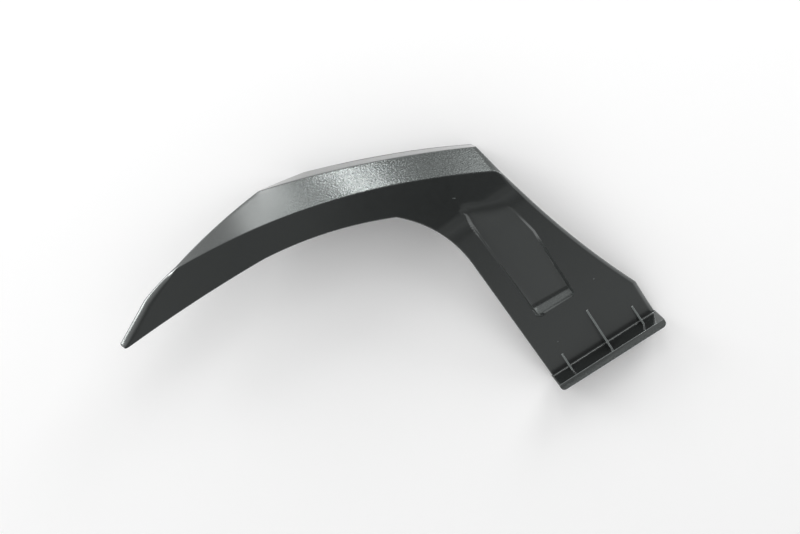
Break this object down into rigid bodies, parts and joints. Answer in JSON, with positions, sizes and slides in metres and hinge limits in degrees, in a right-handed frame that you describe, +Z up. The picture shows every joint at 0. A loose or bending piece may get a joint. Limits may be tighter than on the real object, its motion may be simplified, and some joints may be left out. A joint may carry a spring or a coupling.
{
  "type": "mudguard",
  "caption": "Moulded black plastic mudguard shell: a long curved arm with a grained facet and rim, and a leg with a recess and a ribbed foot flange.",
  "frame": {"origin": "middle of the part's box on plan, at the height of the ground it rests on", "axes": "+X along the part's length from the arm's tip towards the foot, +Y from the wheel opening towards the rim, +Z up, out of the smooth side wall"},
  "size_m": [0.5578, 0.256, 0.05],
  "materials": {
    "plastic": "satin, with fine grain on the facet, the foot's lip and the recess's end wall"
  },
  "bodies": {
    "root": {"mudguard": "plastic"}
  },
  "joints": []
}
